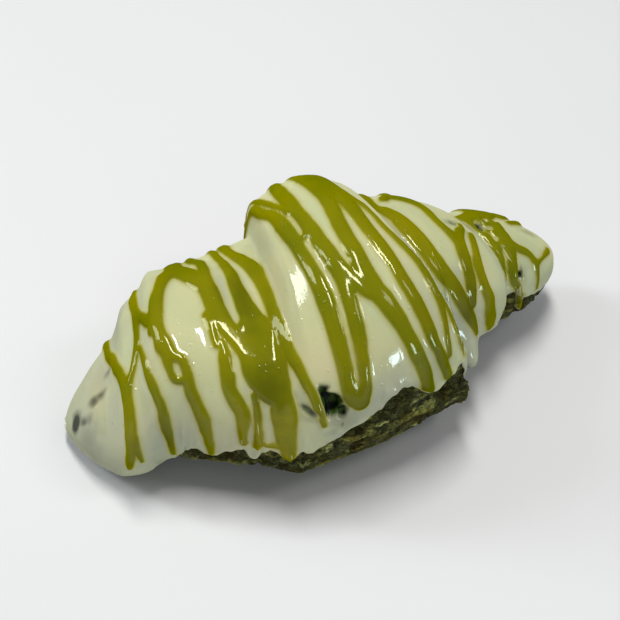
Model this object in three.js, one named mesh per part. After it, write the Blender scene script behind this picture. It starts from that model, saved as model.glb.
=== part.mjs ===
// Glazed croissant: rolled dough in stepped coils under a thick poured glaze. One solid.
// Millimetres, +Z up. +X runs along the roll, -Y is the front, and it rests on z = 0.
// The roll is six nested coils. Each coil is a rounded section that swells or tapers along
// the roll, and ends in a step down to the next one. The glaze ends low on both sides in an
// uneven lip, and the dough sits back under it.
import * as THREE from 'three';

// ---- driving dimensions -------------------------------------------------------------
const TAIL = -79.5;            // station of the left tip along the spine
const NOSE = 88;               // station of the right tip
const HALF_LENGTH = 80;        // station where the bend reaches its full value
const BEND = 13;               // how far both arms curve back toward +Y
const TAIL_CAP = 18;           // length over which the left tip rounds off
const TAIL_POWER = 2.0;        // how bluntly it does: less is more pointed
const NOSE_CAP = 27;           // the same for the right tip
const NOSE_POWER = 1.7;
const SHOULDER = 0.44;         // widest level of a section, as a share of its height
const TIP_LEVEL = 0.45;        // level that the tips close on, as a share of the height
const BELLY = 1.22;            // how far the underside would run past the table if not flat
const WIDTH_POWER = 0.86;      // section shape: 1 is an ellipse, less is fuller
const CROWN_POWER = 0.90;
const BACK_FULLNESS = 0.08;    // the back upper side is this much fuller than the front
const LIP_DEPTH = 1.4;         // the dough sits this far inside the glaze's lip
const LIP_ANGLE = 1.3;         // half the angle that the lip's underside takes, degrees
const TUCK_ANGLE = 14;         // below the lip the dough swells out again over this angle

// Each coil: half width at its left and right end and the bulge between, the same for its
// height, and how far it is lifted off the table and shifted toward +Y at its two ends.
const COILS = [
  { half: [12.5, 24, 0.5], height: [15, 28, 1], lift: [0, 0], shift: [-3, -2] },
  { half: [26.5, 28, 0.8], height: [32, 40.5, 1], lift: [2, 3.5], shift: [-1.5, -0.5] },
  { half: [27.5, 41, -2.5], height: [46, 48, 1.5], lift: [5, 3], shift: [1, -1] },
  { half: [43, 37.5, 2], height: [58.5, 64, 7.5], lift: [0, 0], shift: [3, 4] },
  { half: [28, 22, 0.8], height: [47.5, 35.7, 3.2], lift: [11, 8.5], shift: [7.5, 6.5] },
  { half: [19, 14.5, 0.8], height: [31.5, 21.5, 1.5], lift: [11.5, 10], shift: [6, -0.5] },
];
// Where each coil ends: station = mid + front * cos(angle) + top * sin(angle), and the
// length of the step down there, over the front and at the back.
const STEPS = [
  { mid: -62, front: 0, top: 0, run: 7.5, backRun: 5.5 },
  { mid: -51, front: 0, top: 0, run: 7.5, backRun: 5.5 },
  { mid: -12.5, front: -2.5, top: 0, run: 9, backRun: 4 },
  { mid: 28.5, front: 5, top: -3.5, run: 3.5, backRun: 3.5 },
  { mid: 53, front: 3, top: 2, run: 3, backRun: 3 },
];
// Local swellings, or hollows where the height is negative. Reach is along the roll, turn is
// round it in degrees.
const LUMPS = [
  { station: 37.4, angle: -13, reach: 4.2, turn: 14, height: 8.2 },   // a drip of glaze
  { station: -55, angle: 112, reach: 5, turn: 20, height: 1.2 },
  { station: -66, angle: 100, reach: 7, turn: 30, height: -1.5 },
  { station: -31, angle: 115, reach: 6, turn: 20, height: 1.2 },
  { station: 26, angle: 112, reach: 3, turn: 14, height: -1.2 },
  { station: -38, angle: 75, reach: 12, turn: 25, height: 0.7 },
];
// Lower edge of the glaze on each side: [station, degrees above the level half way up].
const FRONT_LIP = [
  [TAIL, -40], [-60, -36], [-57, -32], [-54, -26], [-50, -32], [-47, -30], [-45, -22],
  [-44, -14], [-42, -11], [-39.5, -17], [-36.5, -17], [-33, -8], [-30, -4], [-28.5, -11],
  [-26.5, -13], [-25, -4], [-23, 1], [-19, -2], [-16, 3], [-13, -2], [-9, 0], [0, 4],
  [3, 6.5], [9, 11], [12, 13.3], [14, 11], [19, 4], [22, 2], [27, 5], [30, 10],
  [32.5, 11], [34.5, -14], [36, -18], [45, -20], [52, -26], [55.5, -24], [57, 5],
  [60.8, 8], [62.4, -20], [63.6, -25], [64.8, -5], [67, -7], [70, -12], [73, -18],
  [77, -20], [NOSE, -28],
];
const BACK_LIP = [
  [TAIL, -36], [-62, -26], [-52, -10], [-41, 2], [-36, -8], [-26, 6], [-19, -3],
  [-11, 4], [-2, 9], [6, 0], [13, 8], [21, 3], [27, 9], [32, -10], [45, -12], [52, 8],
  [60, -4], [70, -12], [NOSE, -30],
];
// A gap in the glaze low on the front of the widest coil.
const POCKET = { station: -8, angle: 24, depth: 2.8, length: 4.5, width: 5 };

// Mesh density: rings along each coil and each step, and rows round the section.
const COIL_RINGS = [12, 4, 13, 17, 8, 13];
const STEP_RINGS = 3;
const UNDER_ROWS = 7;          // from the middle of the underside to a lip
const OVER_ROWS = 27;          // from the front lip over the top to the back lip

// ---- form ----------------------------------------------------------------------------
const RAD = Math.PI / 180;
const clamp = (x, low = 0, high = 1) => Math.min(high, Math.max(low, x));
const mix = (a, b, t) => a + (b - a) * t;
const smooth = (x) => { const t = clamp(x); return t * t * (3 - 2 * t); };
const stepStation = (step, angle) =>
  step.mid + step.front * Math.cos(angle) + step.top * Math.sin(angle);
const stepRun = (step, angle) =>
  mix(step.run, step.backRun, smooth(0.3 - 1.3 * Math.cos(angle)));

// Smooth curve through a list of [station, value].
function along(list, station) {
  for (let i = 1; i < list.length; i += 1) {
    if (station <= list[i][0]) {
      const [s0, v0] = list[i - 1];
      const [s1, v1] = list[i];
      return mix(v0, v1, smooth((station - s0) / (s1 - s0)));
    }
  }
  return list[list.length - 1][1];
}

// Size of the section at a station and angle, blended across the steps.
function sectionSize(station, angle) {
  const ends = [TAIL, ...STEPS.map((step) => stepStation(step, angle)), NOSE];
  let size = null;
  COILS.forEach((coil, k) => {
    const t = clamp((station - ends[k]) / (ends[k + 1] - ends[k]));
    const swell = 4 * t * (1 - t);
    const own = [
      mix(coil.half[0], coil.half[1], t) + coil.half[2] * swell,
      mix(coil.height[0], coil.height[1], t) + coil.height[2] * swell,
      mix(coil.lift[0], coil.lift[1], t),
      mix(coil.shift[0], coil.shift[1], t),
    ];
    const share = k === 0
      ? 1 : smooth((station - ends[k]) / stepRun(STEPS[k - 1], angle) + 0.5);
    size = size ? size.map((value, i) => mix(value, own[i], share)) : own;
  });
  return size;
}

// How much of the section is left at a station: 1 along the roll, 0 at the two tips.
function tipShare(station) {
  const left = clamp((TAIL + TAIL_CAP - station) / TAIL_CAP);
  const right = clamp((station - NOSE + NOSE_CAP) / NOSE_CAP);
  return Math.sqrt(1 - left ** TAIL_POWER) * Math.sqrt(1 - right ** NOSE_POWER);
}

// How far the lumps raise the surface.
function lumpHeight(station, angle) {
  let total = 0;
  for (const lump of LUMPS) {
    const reach = Math.hypot((station - lump.station) / lump.reach,
      (angle / RAD - lump.angle) / lump.turn);
    total += lump.height * Math.exp(-reach * reach);
  }
  return total;
}

// How far the surface is drawn in: under the glaze's lip, and in the pocket.
function recess(station, angle) {
  const up = angle / RAD;
  const front = along(FRONT_LIP, station) - up;
  const back = along(BACK_LIP, station) - (180 - up);
  const below = up > 90 ? back : front;
  const under = smooth(below / (2 * LIP_ANGLE) + 0.5) * (1 - smooth(below / TUCK_ANGLE));
  const reach = Math.hypot((station - POCKET.station) / POCKET.length,
    (up - POCKET.angle) / POCKET.width);
  return LIP_DEPTH * under + POCKET.depth * Math.exp(-reach * reach);
}

// Point on the surface. The angle is 0 at the front, 90 degrees at the top, 180 at the back.
function surfacePoint(station, angle) {
  const [half, height, lift, shift] = sectionSize(station, angle);
  const c = Math.cos(angle);
  const s = Math.sin(angle);
  const drawn = recess(station, angle);
  const fuller = c < 0 ? 1 + BACK_FULLNESS * Math.sqrt(Math.max(s, 0)) : 1;
  const level = SHOULDER * height;
  let out = (half * fuller - drawn) * Math.sign(c) * Math.abs(c) ** WIDTH_POWER;
  let up = s >= 0
    ? level + (height - drawn - level) * s ** CROWN_POWER
    : Math.max(0, level * (1 + BELLY * s));
  const lump = lumpHeight(station, angle);
  const share = tipShare(station);
  out = (out + lump * c) * share;
  up = TIP_LEVEL * height + (up + lump * s - TIP_LEVEL * height) * share + lift;
  const turn = Math.atan(2 * BEND * station / HALF_LENGTH ** 2);
  const spine = BEND * (station / HALF_LENGTH) ** 2 + shift;
  return [station + out * Math.sin(turn), spine - out * Math.cos(turn), up];
}

// ---- mesh ----------------------------------------------------------------------------
// Angle of each row at a station: rows crowd together at the two lips.
function rowAngles(station) {
  const front = along(FRONT_LIP, station);
  const back = 180 - along(BACK_LIP, station);
  const rows = [];
  const span = (from, to, count) => {
    for (let i = 0; i < count; i += 1) rows.push(mix(from, to, i / count));
  };
  span(-90, front - LIP_ANGLE, UNDER_ROWS);
  span(front - LIP_ANGLE, front + LIP_ANGLE, 1);
  span(front + LIP_ANGLE, back - LIP_ANGLE, OVER_ROWS);
  span(back - LIP_ANGLE, back + LIP_ANGLE, 1);
  span(back + LIP_ANGLE, 270, UNDER_ROWS);
  return rows.map((degrees) => degrees * RAD);
}

// Station of each ring as a function of the angle, so that rings follow the slanted steps.
function ringStations() {
  const rings = [];
  COILS.forEach((coil, k) => {
    const before = STEPS[k - 1];
    const after = STEPS[k];
    for (let i = k === 0 ? 1 : 0; i < COIL_RINGS[k]; i += 1) {
      let t = i / COIL_RINGS[k];
      if (!before) t = 1 - Math.cos(t * Math.PI / 2);     // rings crowd toward the tips
      if (!after) t = Math.sin(t * Math.PI / 2);
      rings.push((angle) => mix(
        before ? stepStation(before, angle) + stepRun(before, angle) / 2 : TAIL,
        after ? stepStation(after, angle) - stepRun(after, angle) / 2 : NOSE, t));
    }
    for (let i = 0; after && i < STEP_RINGS; i += 1) {
      rings.push((angle) =>
        stepStation(after, angle) + stepRun(after, angle) * (i / STEP_RINGS - 0.5));
    }
  });
  return rings;
}

function croissantGeometry() {
  const rings = ringStations();
  const points = [];
  for (const ring of rings) {
    for (const angle of rowAngles(ring(Math.PI / 2))) {
      points.push(surfacePoint(ring(angle), angle));
    }
  }
  const rows = points.length / rings.length;
  const faces = [];
  for (let i = 0; i + 1 < rings.length; i += 1) {
    for (let j = 0; j < rows; j += 1) {
      const a = i * rows + j;
      const b = i * rows + (j + 1) % rows;
      faces.push(a, a + rows, b, b, a + rows, b + rows);
    }
  }
  const tips = [[TAIL, 0], [NOSE, (rings.length - 1) * rows]];
  for (const [station, first] of tips) {
    points.push(surfacePoint(station, 0));
    const tip = points.length - 1;
    for (let j = 0; j < rows; j += 1) {
      const a = first + j;
      const b = first + (j + 1) % rows;
      faces.push(...(station === TAIL ? [tip, a, b] : [tip, b, a]));
    }
  }
  const geometry = new THREE.BufferGeometry();
  geometry.setAttribute('position', new THREE.Float32BufferAttribute(points.flat(), 3));
  geometry.setIndex(faces);
  geometry.computeBoundingBox();
  const middle = geometry.boundingBox.getCenter(new THREE.Vector3());
  geometry.translate(-middle.x, -middle.y, -geometry.boundingBox.min.z);
  geometry.computeVertexNormals();
  return geometry;
}

// ---- object --------------------------------------------------------------------------
const glazeFinish = new THREE.MeshStandardMaterial({
  color: 0xc4c79a, roughness: 0.2, metalness: 0,
});

const croissant = new THREE.Mesh(croissantGeometry(), glazeFinish);
croissant.name = 'croissant';

const group = new THREE.Group();
group.add(croissant);

export default group;
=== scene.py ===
"""Glazed croissant: bare flaky dough, a thick poured glaze over it, and a drizzle on the glaze.

The dough, the glaze and the drizzle are three meshes on one curved form. Places on the form
are given by a station along the roll in mm and an angle round it in degrees: 0 is the front
(-Y), 90 the top, 180 the back. Lengths are in mm until a mesh is made, which is in metres, and
materials, lamps and the floor are in metres too.
"""

import math

import bpy
import numpy as np
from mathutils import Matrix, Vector


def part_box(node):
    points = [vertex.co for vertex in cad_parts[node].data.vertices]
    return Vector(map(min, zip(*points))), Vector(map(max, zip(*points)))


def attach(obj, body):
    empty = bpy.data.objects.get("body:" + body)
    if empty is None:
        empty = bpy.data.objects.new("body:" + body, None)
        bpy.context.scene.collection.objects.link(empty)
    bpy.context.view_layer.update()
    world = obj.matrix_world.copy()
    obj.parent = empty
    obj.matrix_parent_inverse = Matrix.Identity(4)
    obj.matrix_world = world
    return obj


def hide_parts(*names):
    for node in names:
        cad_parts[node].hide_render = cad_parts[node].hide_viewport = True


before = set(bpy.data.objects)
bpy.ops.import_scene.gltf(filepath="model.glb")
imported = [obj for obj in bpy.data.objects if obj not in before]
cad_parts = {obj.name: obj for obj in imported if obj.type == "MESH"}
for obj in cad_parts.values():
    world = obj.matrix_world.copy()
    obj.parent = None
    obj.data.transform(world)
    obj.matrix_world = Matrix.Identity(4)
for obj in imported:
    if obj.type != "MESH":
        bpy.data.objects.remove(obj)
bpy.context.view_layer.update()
MM = 0.001

# ---- form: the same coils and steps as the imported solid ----
TAIL, NOSE = -79.5, 88.0        # stations of the two tips
HALF_LENGTH, BEND = 80.0, 13.0  # both arms curve back by BEND at HALF_LENGTH
TAIL_CAP, TAIL_POWER = 18.0, 2.0  # length over which each tip closes, and how bluntly
NOSE_CAP, NOSE_POWER = 27.0, 1.7
SHOULDER, TIP_LEVEL = 0.44, 0.45  # share of the height where a coil is widest, and of a tip
BELLY = 1.22                    # how fast a coil turns under below its widest level
WIDTH_POWER, CROWN_POWER = 0.86, 0.90  # below 1, sides and top are fuller than an ellipse
BACK_FULLNESS = 0.08            # how much further the back stands out, above its middle
# of each coil, half width and height: left end, right end, bulge between; then how far it is
# lifted and shifted to the back: left end, right end
COILS = [
    ((12.5, 24, 0.5), (15, 28, 1), (0, 0), (-3, -2)),
    ((26.5, 28, 0.8), (32, 40.5, 1), (2, 3.5), (-1.5, -0.5)),
    ((27.5, 41, -2.5), (46, 48, 1.5), (5, 3), (1, -1)),
    ((43, 37.5, 2), (58.5, 64, 7.5), (0, 0), (3, 4)),
    ((28, 22, 0.8), (47.5, 35.7, 3.2), (11, 8.5), (7.5, 6.5)),
    ((19, 14.5, 0.8), (31.5, 21.5, 1.5), (11.5, 10), (6, -0.5)),
]
# where a coil ends: mid + front * cos(angle) + top * sin(angle), and the length of its step
# down over the front and at the back
STEPS = [(-62, 0, 0, 7.5, 5.5), (-51, 0, 0, 7.5, 5.5), (-12.5, -2.5, 0, 9, 4),
         (28.5, 5, -3.5, 3.5, 3.5), (53, 3, 2, 3, 3)]
# local swellings: (station, degrees, reach along, reach in degrees, height)
LUMPS = [(37.4, -13, 4.2, 14, 8.2), (-55, 112, 5, 20, 1.2), (-66, 100, 7, 30, -1.5),
         (-31, 115, 6, 20, 1.2), (26, 112, 3, 14, -1.2), (-38, 75, 12, 25, 0.7)]
# lower edges of the glaze: (station, degrees), the back one measured up from the back
FRONT_LIP = [
    (TAIL, -40), (-60, -36), (-57, -32), (-54, -26), (-50, -32), (-47, -30), (-45, -22),
    (-44, -14), (-42, -11), (-39.5, -17), (-36.5, -17), (-33, -8), (-30, -4), (-28.5, -11),
    (-26.5, -13), (-25, -4), (-23, 1), (-19, -2), (-16, 3), (-13, -2), (-9, 0), (0, 4),
    (3, 6.5), (9, 11), (12, 13.3), (14, 11), (19, 4), (22, 2), (27, 5), (30, 10), (32.5, 11),
    (34.5, -14), (36, -18), (45, -20), (52, -26), (55.5, -24), (57, 5), (60.8, 8), (62.4, -20),
    (63.6, -25), (64.8, -5), (67, -7), (70, -12), (73, -18), (77, -20), (NOSE, -28),
]
BACK_LIP = [
    (TAIL, -36), (-62, -26), (-52, -10), (-41, 2), (-36, -8), (-26, 6), (-19, -3), (-11, 4),
    (-2, 9), (6, 0), (13, 8), (21, 3), (27, 9), (32, -10), (45, -12), (52, 8), (60, -4),
    (70, -12), (NOSE, -30),
]
LIPS = ((FRONT_LIP, 11), (BACK_LIP, 12))  # each with the seed of its unevenness

# ---- glaze and drizzle ----
GLAZE = 1.5                     # thickness of the glaze
LIP_ROUND = 1.7                 # distance over which its edge rounds down to the dough
BEAD, BEAD_AT, BEAD_REACH = 0.5, 2.4, 1.5  # it is thicker by BEAD around BEAD_AT from the edge
FLOW = (1.0, 0.45, 0.45)        # its ripples are drawn out down the sides
UNDERLAP = 1.0                  # how far its inner face lies inside the dough
TUCK_ANGLE = 14.0               # below the lip the dough swells out over this angle
# near the right tip the dough is fuller: by mm where it is bare, by a share of GLAZE under it
TIP_START, TIP_SWELL, TIP_RISE = 54, 1.2, 0.6
DRIZZLE, DRIZZLE_RUN = 0.2, 1.5  # height of the drizzle over the glaze, and run from its edge
ROOT = 0.3                      # how far its underside lies inside the glaze
LIP_MARGIN = 0.3                # it ends this far above the glaze's lower edge
BRIDGE = 0.3                    # the glaze stays whole this far round a strand over a gap
RIDGE, RIDGE_RUN = 0.75, 3.0    # height and run of the glaze's own rise under a strand
FILM = 0.3                      # the drizzle's thin edge reaches this far past its outline
SPREAD = 0.42                   # how far the drizzle has spread past its drawn strands
DEGREE = 0.73                   # length of a degree on the unrolled form, in stations
FAR = 6.0                       # distances from the drizzle are not told apart beyond this
NO_DRIZZLE = -9.0               # field value away from all strands
SPOT_DEPTH = 4.0                # gaps and spots reach this far above and below the form
# gaps in the glaze: (station, degrees, half length along the roll, half height, depth)
GAPS = [
    (-8, 24.2, 3.3, 4.4, 3.4), (-4.8, 16.5, 1.7, 2.3, 2), (-13.1, 27.5, 1.1, 3, 0.85),
    (-5.3, 9.2, 0.4, 0.9, 0.8), (-4.8, 6.8, 0.5, 0.5, 0.8), (63.3, 29, 1.2, 1.5, 2.6),
    (49, 89.5, 1.6, 0.9, 1.6), (59.8, 91, 1.4, 2.6, 2.2), (62.2, 88, 1, 0.9, 1.6),
    (63.8, 97.5, 0.8, 0.8, 1.6), (67.3, 98, 0.8, 0.8, 1.6),
]
# dark spots where the dough shows through: (station, degrees, half length, half height, share),
# and a share above 1 gives a spot a solid middle
SMUDGES = [
    (-75.3, 51.5, 1.9, 2.3, 1.8), (-72.4, 55, 2.2, 1.2, 0.8), (-70.6, 57.5, 1.6, 1.8, 0.5),
    (-71.5, 30, 4, 5, 0.25), (-69.2, 78.5, 1.9, 1.7, 0.8), (-67.2, 82, 2.1, 1.4, 0.75),
    (-64.8, 96.5, 1.4, 1.2, 0.5), (-12.6, 27, 2.4, 5, 0.45), (-5.4, 13, 3.4, 4.2, 0.35),
    (61.5, 14, 2, 5, 0.35), (63.5, 29, 2.2, 2.6, 0.3), (78, 88, 4.2, 1.6, 0.35),
    (57.5, 92, 3.4, 2.6, 0.4), (49, 89, 3.4, 1.6, 0.5),
]
# painted shade, soft and grey-green, in the glaze and the drizzle: the same, with larger spots
SHADES = [
    (-21.5, 43, 5.5, 7, 0.95), (-22.5, 91, 2.5, 9, 0.7), (-27.5, 96, 2, 8, 0.6),
    (6, 12, 12, 7, 0.85), (14, 6, 8, 6, 0.8), (-5, -2, 5, 6, 0.9),
    (-47.8, 4, 6, 7, 0.6), (39, 16, 4.5, 14, 0.9), (24, 42, 6, 12, 0.4),
    (-11.8, 116, 3, 10, 0.25), (-60.5, 136, 7, 12, 0.8), (-45, 128, 6, 9, 0.35),
    (-65, 98, 4, 7, 0.5), (-62, 68, 4, 8, 0.4), (-71, 32, 6, 6, 0.6),
    (-43.5, 26, 4, 9, 0.3), (65, 40, 8, 6, 0.2), (21, 22, 5, 8, 0.6),
]
STEP_SHADES = (0.5, 0.5, 0.3, 0.8, 0.6)  # painted shade: how grey the glaze is beside each step
# painted shade toward the lower edges and the left tip: how grey it is at most, where that starts
# to fade, and over what length: in degrees above the sides, and in stations from the left tip
LOW_SHADE, TAIL_SHADE = (0.6, 30, 44), (0.65, -52, 20)

# ---- how finely the meshes are divided ----
DOUGH_SPACING, GLAZE_SPACING, DRIZZLE_SPACING = 0.62, 0.61, 0.8  # between rings of points
GLAZE_ROW_SPACING = 0.83        # between its rows, where it is widest
INNER_ROWS = 8                  # the glaze's inner face keeps every eighth row
# rows round the dough: (first angle, rows up to the next), close together where it is bare
DOUGH_ROWS = [(-90, 14), (-58, 120), (42, 12), (150, 90), (238, 14), (270, 0)]
DRIZZLE_ROWS = (-32, 204, 1.12)  # degrees: first, end, spacing


def smooth(x):
    """0 up to x = 0, 1 from x = 1 on, and an S-curve between."""
    t = np.clip(x, 0, 1)
    return t * t * (3 - 2 * t)


def between(ends, t):
    """From the first end at t = 0 to the second at t = 1."""
    return ends[0] + (ends[1] - ends[0]) * t


def along(points, station):
    """Smooth curve through (station, value) points."""
    stations, values = np.array(points, float).T
    station = np.clip(station, stations[0], stations[-1])
    i = np.clip(np.searchsorted(stations, station) - 1, 0, len(stations) - 2)
    t = smooth((station - stations[i]) / (stations[i + 1] - stations[i]))
    return between((values[i], values[i + 1]), t)


def noise(points, size, seed):
    """Smooth random field from -1 to 1, with bumps about size across, in any dimension."""
    points = np.asarray(points, float) / size
    side = 24                       # the field repeats after this many bumps
    table = np.random.RandomState(seed).uniform(-1, 1, (side,) * points.shape[-1])
    cell = np.floor(points).astype(int)
    t = smooth(points - cell)
    total = np.zeros(points.shape[:-1])
    for corner in np.ndindex((2,) * points.shape[-1]):
        corner = np.array(corner)
        share = np.prod(np.where(corner == 1, t, 1 - t), axis=-1)
        total += share * table[tuple(np.moveaxis((cell + corner) % side, -1, 0))]
    return total


def bumpy(points, layers, base=0):
    """Noise of several sizes on top of a base, from (height, size, seed) layers."""
    return sum((height * noise(points, size, seed) for height, size, seed in layers), base)


def step_station(step, radians):
    """Station of the step between two coils, which runs slanted round the roll."""
    mid, front, top = step[:3]
    return mid + front * np.cos(radians) + top * np.sin(radians)


def section_size(station, radians):
    """Half width, height, lift and shift, blended across the steps."""
    at_back = smooth(0.3 - 1.3 * np.cos(radians))    # from just before the top to the back
    ends = [np.full_like(station, TAIL)]
    ends += [step_station(step, radians) for step in STEPS]
    ends += [np.full_like(station, NOSE)]
    size = None
    for k, (half, height, lift, shift) in enumerate(COILS):
        t = np.clip((station - ends[k]) / (ends[k + 1] - ends[k]), 0, 1)
        swell = 4 * t * (1 - t)
        own = np.stack([between(half, t) + half[2] * swell, between(height, t) + height[2] * swell,
                        between(lift, t), between(shift, t)])
        if size is None:
            size = own
        else:
            run = between(STEPS[k - 1][3:], at_back)
            share = smooth((station - ends[k]) / run + 0.5)
            size = size * (1 - share) + own * share
    return size


def form(station, degrees):
    """Point on the outer form."""
    station, degrees = np.broadcast_arrays(np.asarray(station, float), degrees)
    radians = np.radians(degrees)
    half, height, lift, shift = section_size(station, radians)
    c, s = np.cos(radians), np.sin(radians)
    fuller = np.where(c < 0, 1 + BACK_FULLNESS * np.sqrt(np.clip(s, 0, 1)), 1)
    level = SHOULDER * height
    out = half * fuller * np.sign(c) * np.abs(c) ** WIDTH_POWER
    up = np.where(s >= 0, level + (height - level) * np.abs(s) ** CROWN_POWER,
                  np.maximum(0, level * (1 + BELLY * s)))
    for s0, a0, reach, turn, swell in LUMPS:
        bump = swell * np.exp(-((station - s0) / reach) ** 2 - ((degrees - a0) / turn) ** 2)
        out, up = out + bump * c, up + bump * s
    left = np.clip((TAIL + TAIL_CAP - station) / TAIL_CAP, 0, 1) ** TAIL_POWER
    right = np.clip((station - NOSE + NOSE_CAP) / NOSE_CAP, 0, 1) ** NOSE_POWER
    share = np.sqrt((1 - left) * (1 - right))
    out = out * share
    up = TIP_LEVEL * height + (up - TIP_LEVEL * height) * share + lift
    turn = np.arctan(2 * BEND * station / HALF_LENGTH ** 2)
    spine = BEND * (station / HALF_LENGTH) ** 2 + shift
    return np.stack([station + out * np.sin(turn), spine - out * np.cos(turn), up], -1)


def tip_point(station):
    """A point on the form's front, at a tip or just short of it, as a list of one."""
    return form(np.array([station]), np.array([0.0]))


def point_and_normal(station, degrees):
    """Point on the form and its unit normal, which points along the roll at the tips."""
    station, degrees = np.broadcast_arrays(np.asarray(station, float), degrees)
    ds, da = 0.25, 0.5
    low, high = np.maximum(station - ds, TAIL), np.minimum(station + ds, NOSE)
    run = form(high, degrees) - form(low, degrees)
    turn = form(station, degrees + da) - form(station, degrees - da)
    normal = np.cross(run, turn)
    size = np.linalg.norm(normal, axis=-1, keepdims=True)
    axis = np.zeros_like(normal)
    axis[..., 0] = np.sign(station - (TAIL + NOSE) / 2)
    normal = np.where(size > 1e-6, normal / np.maximum(size, 1e-9), axis)
    return form(station, degrees), normal


def radius(station):
    """Rough radius of the section, to turn angles into lengths."""
    half, height, _, _ = section_size(station, np.zeros_like(station))
    return 0.55 * half + 0.25 * height
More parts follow.
